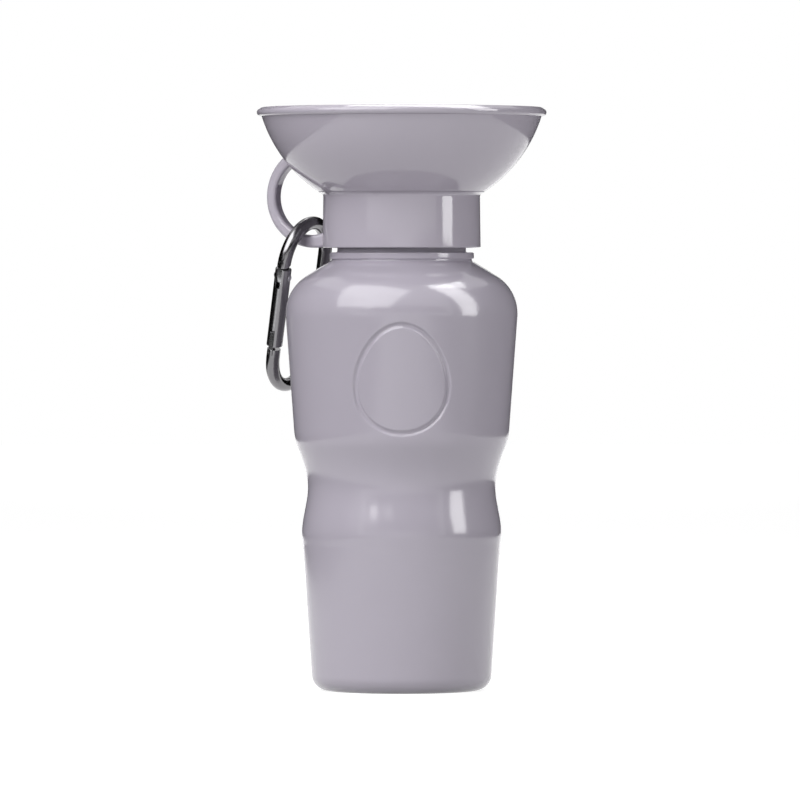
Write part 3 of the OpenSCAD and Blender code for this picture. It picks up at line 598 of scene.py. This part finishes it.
def latch_tongue():
    """Hooked tongue from the nose, whose head holds the gate's pin."""
    outer, bevel = 0.1 * MM - ROD_R, 0.6 * MM
    hook, shank, root = 1.2 * MM, -1.1 * MM, 1.6 * MM
    top_z, head_z, hook_z = 3.6 * MM - PIN_AT, 3 * MM - PIN_AT, 1.2 * MM - PIN_AT
    shank_z, root_z = 0.6 * MM - NOSE_AT, -NOSE_AT - 2 * MM
    outline = [(outer, root_z), (outer, head_z), (outer + bevel, top_z), (bevel, top_z),
               (hook, head_z), (hook, hook_z), (shank, hook_z), (shank, shank_z), (root, root_z)]
    return plate("latch_tongue", [(x - BOW_R, z) for x, z in outline], TONGUE_T)


def make_carabiner_frame(coat):
    """Bent rod with a slanted upper end, a hinge tongue and a latch tongue."""
    rod = bent_rod()
    down = Vector((math.sin(SLANT), 0, -math.cos(SLANT)))
    middle = Vector((-BOW_R, 0, 1.1 * MM - GATE_TOP)) + down * CUT_L / 2
    carve(rod, block((4 * ROD_R, 4 * ROD_R, CUT_L), middle, (0, -SLANT, 0)))
    soften(rod, GATE_EDGE)
    rivet_hole = bar(RIVET_R + PIN_GAP, 2 * ROD_R, (-BOW_R, 0, -RIVET_AT), (QUARTER, 0, 0))
    whole = weld("carabiner_rod", rod, carve(hinge_tongue(), rivet_hole), latch_tongue())
    fit(settle(whole, hang()), "carabiner", "carabiner_frame", coat)


def make_gate(coat):
    """Round bar with a slot for each tongue, its cross holes and the spring's bore."""
    middle_z = (GATE_END + GATE_TOP) / 2
    across = (QUARTER, 0, 0)
    gate = soften(bar(GATE_R, GATE_L, (-BOW_R, 0, -middle_z), sides=GATE_SIDES), GATE_EDGE)
    bore_z = -HINGE_SLOT_END - SPRING_BORE_L / 2 + 1 * MM
    carve(gate,
          block((4 * GATE_R, SLOT_W, HINGE_CUT_L), (-BOW_R, 0, HINGE_CUT_L / 2 - HINGE_SLOT_END)),
          block((4 * GATE_R, SLOT_W, LATCH_SLOT_H + 1 * MM),
                (-BOW_R, 0, (LATCH_SLOT_H - 1 * MM) / 2 - GATE_END)),
          bar(SPRING_BORE_R, SPRING_BORE_L, (-BOW_R, 0, bore_z)),
          bar(RIVET_R, 3 * GATE_R, (-BOW_R, 0, -RIVET_AT), across),
          bar(PIN_R, 3 * GATE_R, (-BOW_R, 0, -PIN_AT), across))
    settle(gate, hang())
    gate.name = gate.data.name = "spring_gate"
    fit(gate, "gate", "carabiner_gate", coat)


def make_gate_coil(coat):
    """Coil in the gate: a copy of the CAD spring, merged and smoothed, which keeps its length."""
    mesh = nodes["gate_spring"].data.copy()
    coil = bpy.data.objects.new("gate_coil", mesh)
    bpy.context.scene.collection.objects.link(coil)
    pick(coil)
    bpy.ops.object.mode_set(mode="EDIT")
    bpy.ops.mesh.select_all(action="SELECT")
    bpy.ops.mesh.remove_doubles(threshold=SAME_POINT)
    bpy.ops.object.mode_set(mode="OBJECT")
    bpy.ops.object.shade_smooth_by_angle(angle=SHARP_ON_COIL)
    fit(coil, "gate", "gate_spring", coat)
    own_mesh(coil)


# ---------------------------------------------------------------- shared effects
RIPPLE_SCALE, SMEAR_SCALE, CHIP_SCALE = 38.0, 26.0, 900.0
RAISED_FROM, RAISED_TO = 0.52, 0.62
RUBBED_AMOUNT = 1.4
MIDDLE = 0.5


def node(tree, kind, **settings):
    """Adds a shader node and sets its options, or its inputs where a name is an input's."""
    made = tree.nodes.new("ShaderNode" + kind)
    for name, value in settings.items():
        label = name.replace("_", " ")
        if hasattr(made, name):
            setattr(made, name, value)
        else:
            made.inputs[label].default_value = value
    return made


def effect(name, inputs, outputs):
    """Starts a shader node group with its named sockets; returns it with its two ends."""
    tree = bpy.data.node_groups.new(name, "ShaderNodeTree")
    for label, kind in inputs:
        tree.interface.new_socket(label, in_out="INPUT", socket_type="NodeSocket" + kind)
    for label, kind in outputs:
        tree.interface.new_socket(label, in_out="OUTPUT", socket_type="NodeSocket" + kind)
    return tree, tree.nodes.new("NodeGroupInput"), tree.nodes.new("NodeGroupOutput")


def pigment_drift():
    """Faint cloudy change of a moulded colour: plastic and rubber are never one even tone."""
    tree, given, out = effect(
        "pigment_drift",
        [("Place", "Vector"), ("Colour", "Color"), ("Size", "Float"), ("Amount", "Float")],
        [("Colour", "Color")])
    link = tree.links.new
    cloud = node(tree, "TexNoise", Detail=3.0, Roughness=0.55)
    link(given.outputs["Place"], cloud.inputs["Vector"])
    link(given.outputs["Size"], cloud.inputs["Scale"])
    centred = node(tree, "Math", operation="SUBTRACT")
    link(cloud.outputs["Fac"], centred.inputs[0])
    centred.inputs[1].default_value = MIDDLE
    swing = node(tree, "Math", operation="MULTIPLY_ADD")
    link(centred.outputs[0], swing.inputs[0])
    link(given.outputs["Amount"], swing.inputs[1])
    swing.inputs[2].default_value = 1.0
    tone = node(tree, "HueSaturation")
    link(swing.outputs[0], tone.inputs["Value"])
    link(given.outputs["Colour"], tone.inputs["Color"])
    link(tone.outputs["Color"], out.inputs["Colour"])
    return tree


def mould_grain():
    """Fine pebbled skin that a mould leaves, over a slow ripple of the wall, as a height."""
    tree, given, out = effect(
        "mould_grain", [("Place", "Vector"), ("Grain", "Float"), ("Ripple", "Float")],
        [("Height", "Float")])
    link = tree.links.new
    pebble = node(tree, "TexNoise", Detail=2.0, Roughness=0.5)
    link(given.outputs["Place"], pebble.inputs["Vector"])
    link(given.outputs["Grain"], pebble.inputs["Scale"])
    wave = node(tree, "TexNoise", Scale=RIPPLE_SCALE, Detail=1.0)
    link(given.outputs["Place"], wave.inputs["Vector"])
    height = node(tree, "Math", operation="MULTIPLY_ADD")
    link(wave.outputs["Fac"], height.inputs[0])
    link(given.outputs["Ripple"], height.inputs[1])
    link(pebble.outputs["Fac"], height.inputs[2])
    link(height.outputs[0], out.inputs["Height"])
    return tree


def handling():
    """Where hands dulled or polished a surface: a roughness that drifts round its middle."""
    tree, given, out = effect(
        "handling", [("Place", "Vector"), ("Roughness", "Float"), ("Change", "Float")],
        [("Roughness", "Float")])
    link = tree.links.new
    smear = node(tree, "TexNoise", Scale=SMEAR_SCALE, Detail=5.0, Roughness=0.55)
    link(given.outputs["Place"], smear.inputs["Vector"])
    centred = node(tree, "Math", operation="SUBTRACT")
    link(smear.outputs["Fac"], centred.inputs[0])
    centred.inputs[1].default_value = MIDDLE
    result = node(tree, "Math", operation="MULTIPLY_ADD", use_clamp=True)
    link(centred.outputs[0], result.inputs[0])
    link(given.outputs["Change"], result.inputs[1])
    link(given.outputs["Roughness"], result.inputs[2])
    link(result.outputs[0], out.inputs["Roughness"])
    return tree


def rubbed_edge():
    """Mask of the raised edges, where a coating wears thin first."""
    tree, given, out = effect(
        "rubbed_edge", [("Place", "Vector"), ("Amount", "Float")], [("Mask", "Float")])
    link = tree.links.new
    shape = node(tree, "NewGeometry")
    raised = node(tree, "MapRange", From_Min=RAISED_FROM, From_Max=RAISED_TO)
    link(shape.outputs["Pointiness"], raised.inputs["Value"])
    broken = node(tree, "TexNoise", Scale=CHIP_SCALE, Detail=3.0)
    link(given.outputs["Place"], broken.inputs["Vector"])
    chipped = node(tree, "Math", operation="MULTIPLY")
    link(raised.outputs["Result"], chipped.inputs[0])
    link(broken.outputs["Fac"], chipped.inputs[1])
    scaled = node(tree, "Math", operation="MULTIPLY", use_clamp=True)
    link(chipped.outputs[0], scaled.inputs[0])
    link(given.outputs["Amount"], scaled.inputs[1])
    link(scaled.outputs[0], out.inputs["Mask"])
    return tree


EFFECTS = {make.__name__: make() for make in (pigment_drift, mould_grain, handling, rubbed_edge)}


def use(tree, name, place, **values):
    """Places a shared effect in a material, with its own values."""
    group = tree.nodes.new("ShaderNodeGroup")
    group.node_tree = EFFECTS[name]
    tree.links.new(place, group.inputs["Place"])
    for label, value in values.items():
        group.inputs[label].default_value = value
    return group


# ---------------------------------------------------------------- finishes
def finish(name, colour, drift, grain, roughness, change, relief, **surface):
    """A moulded or metal finish: drifting colour, uneven gloss and a fine relief of that depth."""
    material = bpy.data.materials.new(name)
    material.use_nodes = True
    tree = material.node_tree
    shader = tree.nodes["Principled BSDF"]
    link = tree.links.new
    place = node(tree, "TexCoord").outputs["Object"]
    tone = use(tree, "pigment_drift", place, Colour=(*colour, 1), Size=drift[0], Amount=drift[1])
    link(tone.outputs["Colour"], shader.inputs["Base Color"])
    gloss = use(tree, "handling", place, Roughness=roughness, Change=change)
    link(gloss.outputs["Roughness"], shader.inputs["Roughness"])
    skin = use(tree, "mould_grain", place, Grain=grain[0], Ripple=grain[1])
    bump = node(tree, "Bump", Strength=1.0, Distance=relief)
    link(skin.outputs["Height"], bump.inputs["Height"])
    link(bump.outputs["Normal"], shader.inputs["Normal"])
    for label, value in surface.items():
        shader.inputs[label.replace("_", " ")].default_value = value
    return material


def worn_metal(name, colour, rubbed, **how):
    """A metal finish whose raised edges show the paler metal under the coating."""
    material = finish(name, colour, **how, Metallic=1.0)
    tree = material.node_tree
    shader = tree.nodes["Principled BSDF"]
    tone = shader.inputs["Base Color"].links[0].from_socket
    place = next(n for n in tree.nodes if n.type == "TEX_COORD").outputs["Object"]
    edge = use(tree, "rubbed_edge", place, Amount=RUBBED_AMOUNT)
    mix = tree.nodes.new("ShaderNodeMix")
    mix.data_type = "RGBA"
    tree.links.new(edge.outputs["Mask"], mix.inputs["Factor"])
    tree.links.new(tone, mix.inputs["A"])
    mix.inputs["B"].default_value = (*rubbed, 1)
    tree.links.new(mix.outputs["Result"], shader.inputs["Base Color"])
    return material


def make_finishes():
    """All the finishes, each under its own key."""
    return {
        "bottle_plastic": finish(
            "squeeze_plastic", (0.425, 0.395, 0.458), drift=(30.0, 0.05), grain=(1500.0, 2.0),
            roughness=0.14, change=0.05, relief=0.008 * MM, IOR=1.5),
        "bowl_plastic": finish(
            "gloss_plastic", (0.445, 0.412, 0.476), drift=(24.0, 0.04), grain=(1800.0, 3.0),
            roughness=0.08, change=0.03, relief=0.002 * MM, IOR=1.5),
        "inner_plastic": finish(
            "pale_inner_plastic", (0.66, 0.64, 0.68), drift=(30.0, 0.04), grain=(1500.0, 2.0),
            roughness=0.36, change=0.12, relief=0.01 * MM),
        "seal_rubber": finish(
            "seal_silicone", (0.20, 0.19, 0.21), drift=(90.0, 0.10), grain=(2600.0, 1.0),
            roughness=0.62, change=0.15, relief=0.02 * MM),
        "gunmetal": worn_metal(
            "gunmetal_coat", (0.2, 0.195, 0.203), (0.40, 0.40, 0.41), drift=(120.0, 0.12),
            grain=(3500.0, 1.5), roughness=0.17, change=0.09, relief=0.006 * MM),
        "steel_pins": worn_metal(
            "bright_steel", (0.50, 0.50, 0.51), (0.62, 0.62, 0.63), drift=(200.0, 0.10),
            grain=(4000.0, 1.0), roughness=0.24, change=0.15, relief=0.004 * MM)}


def dress_inner_parts(finishes):
    """Gives each CAD piece that is kept as it is its own finish."""
    for slot, names in {
            "inner_plastic": ("neck_insert", "dip_tube", "threaded_liner"),
            "seal_rubber": ("insert_seal", "stopper", "neck_gasket", "sleeve_seal"),
            "steel_pins": ("gate_rivet", "latch_pin", "spring_plunger")}.items():
        for name in names:
            for holder in nodes[name].material_slots:
                holder.material = finishes[slot]


# ---------------------------------------------------------------- studio
CAMERA_AT = Vector((-0.0006, -2.96, 0.158))
LOOK_AT = Vector((-0.0006, 0, 0.1074))
LENS_MM, SENSOR_MM = 360, 36
BOTTLE_MIDDLE = (0, 0, 0.11)
FLOOR_SIZE = 8.0
ROOM_LIGHT = 0.5
TABLE_LEFT, TABLE_RIGHT = -0.32, 0.46
TABLE_GREY, TABLE_GLOW = 0.42, 0.84
CARD_BLACK, CARD_GREY = 0.02, 0.1


def place_camera():
    """Long lens a little above the middle of the bottle, level with its front."""
    lens = bpy.data.cameras.new("camera")
    lens.lens = LENS_MM
    lens.sensor_width = SENSOR_MM
    camera = bpy.data.objects.new("camera", lens)
    camera.location = CAMERA_AT
    camera.rotation_euler = (LOOK_AT - CAMERA_AT).to_track_quat("-Z", "Y").to_euler()
    bpy.context.scene.collection.objects.link(camera)
    bpy.context.scene.camera = camera


def seen_plainly(tree):
    """1 for what the camera, a reflection or glass sees, and 0 for light that falls on things."""
    path = node(tree, "LightPath")
    both = node(tree, "Math", operation="MAXIMUM")
    tree.links.new(path.outputs["Is Camera Ray"], both.inputs[0])
    tree.links.new(path.outputs["Is Glossy Ray"], both.inputs[1])
    each = node(tree, "Math", operation="MAXIMUM")
    tree.links.new(both.outputs[0], each.inputs[0])
    tree.links.new(path.outputs["Is Transmission Ray"], each.inputs[1])
    return each.outputs[0]


def light_room():
    """White surroundings, which light the object more softly than they look."""
    world = bpy.data.worlds.new("room")
    world.use_nodes = True
    bpy.context.scene.world = world
    tree = world.node_tree
    back = tree.nodes["Background"]
    back.inputs["Color"].default_value = (1, 1, 1, 1)
    strength = node(tree, "MapRange", To_Min=ROOM_LIGHT, To_Max=1.0)
    tree.links.new(seen_plainly(tree), strength.inputs["Value"])
    tree.links.new(strength.outputs["Result"], back.inputs["Strength"])


def matt(name, grey, roughness):
    """A plain matt material of one grey, without any shine."""
    material = bpy.data.materials.new(name)
    material.use_nodes = True
    shader = material.node_tree.nodes["Principled BSDF"]
    shader.inputs["Base Color"].default_value = (grey, grey, grey, 1)
    shader.inputs["Roughness"].default_value = roughness
    shader.inputs["Specular IOR Level"].default_value = 0
    return material


def lay_floor():
    """A table that looks white, throws back little light and keeps the bottle's soft shadow."""
    material = matt("table_top", TABLE_GREY, 0.9)
    tree = material.node_tree
    shader = tree.nodes["Principled BSDF"]
    shader.inputs["Emission Color"].default_value = (1, 1, 1, 1)
    lift = node(tree, "Math", operation="MULTIPLY")
    tree.links.new(seen_plainly(tree), lift.inputs[0])
    lift.inputs[1].default_value = TABLE_GLOW
    tree.links.new(lift.outputs[0], shader.inputs["Emission Strength"])
    bpy.ops.object.select_all(action="DESELECT")
    bpy.ops.mesh.primitive_plane_add(size=FLOOR_SIZE)
    floor = bpy.context.object
    floor.name = "floor"
    floor.data.materials.append(material)


def hang_card(name, size, at, towards, shade=CARD_BLACK, falls=True):
    """A dark card round the table, which no camera sees: it shows in reflections and may hold back
    the room's light."""
    material = matt(name, shade, 1)
    bpy.ops.object.select_all(action="DESELECT")
    bpy.ops.mesh.primitive_plane_add(size=1)
    card = bpy.context.object
    card.name = name
    card.scale = (*size, 1)
    card.location = at
    card.rotation_euler = (Vector(towards) - Vector(at)).to_track_quat("Z", "Y").to_euler()
    card.visible_camera = False
    card.visible_diffuse = falls
    card.visible_shadow = False
    card.visible_transmission = False
    card.data.materials.append(material)


def hang_softbox(name, size, at, radiance, towards=BOTTLE_MIDDLE, falls=True, shines=True):
    """A softbox of that radiance, which falls on things, shows as a reflection in them, or both."""
    lamp = bpy.data.lights.new(name, "AREA")
    lamp.shape = "RECTANGLE"
    lamp.size, lamp.size_y = size
    lamp.energy = radiance * math.pi * size[0] * size[1]
    box = bpy.data.objects.new(name, lamp)
    box.location = at
    box.rotation_euler = (Vector(towards) - Vector(at)).to_track_quat("-Z", "Y").to_euler()
    box.visible_camera = False
    box.visible_diffuse = falls
    box.visible_glossy = shines
    bpy.context.scene.collection.objects.link(box)


def round_about(azimuth, distance, height):
    """A place round the bottle: azimuth in degrees from the front towards the right."""
    a = math.radians(azimuth)
    return distance * math.sin(a), -distance * math.cos(a), height


def light_studio():
    """Softboxes that light the bottle, softboxes that only shine in it, and dark cards round it."""
    hang_softbox("key_left", (0.8, 0.6), round_about(-48, 0.87, 1.076), 5.1, shines=False)
    hang_softbox("low_left", (0.8, 0.6), round_about(-48, 1.272, 0.38), 4.8, shines=False)
    hang_softbox("bounce_right", (0.4, 0.8), (0.36, -0.15, 0.012), 1.7, towards=(0, 0, 0.15),
                 shines=False)
    hang_softbox("top_fill", (1.0, 0.8), (0, -0.25, 1.5), 0.8, shines=False)
    hang_softbox("back_fill", (1.2, 0.9), round_about(180, 1.25, 0.3), 3.0, shines=False)
    hang_softbox("top", (1.4, 0.8), (0.3, 0.35, 1.5), 7.5, falls=False)
    hang_softbox("shine_left", (0.94, 0.92), round_about(-40, 0.617, 0.78), 4.4,
                 towards=round_about(-40, -0.173, 0.17), falls=False)
    hang_softbox("shine_right", (0.256, 0.93), round_about(70, 0.6, 0.46), 8.0,
                 towards=round_about(70, -0.2, -0.14), falls=False)
    hang_softbox("spark_left", (0.18, 0.05), round_about(-34, 1.1, 0.44), 8.0, falls=False)
    for side, edge in ((-1, TABLE_LEFT), (1, TABLE_RIGHT)):
        beside = (edge + side * 0.6, 0.6)
        hang_card("side_card", (1.2, 4.2), (*beside, 0.004), (*beside, 1))
        hang_card("side_wall", (3.0, 1.6), (side * 1.5, 0.3, 0.8), (0, 0.3, 0.8))
        hang_card("back_wall", (1.9, 2.4), (side * 1.28, 2.6, 1.2), (side * 1.28, 0, 1.2))
    hang_card("front_wall", (4.4, 0.8), (0, -2.2, 0.7), (0, 0, 0.7), CARD_GREY, falls=False)


# ---------------------------------------------------------------- the whole scene
place_camera()
finishes = make_finishes()
make_bottle(finishes["bottle_plastic"])
make_collar(finishes["bowl_plastic"])
make_bowl(finishes["bowl_plastic"])
make_dome(finishes["bowl_plastic"])
make_carabiner_frame(finishes["gunmetal"])
make_gate(finishes["gunmetal"])
make_gate_coil(finishes["steel_pins"])
dress_inner_parts(finishes)
light_room()
lay_floor()
light_studio()
bpy.context.scene.view_settings.view_transform = "Standard"
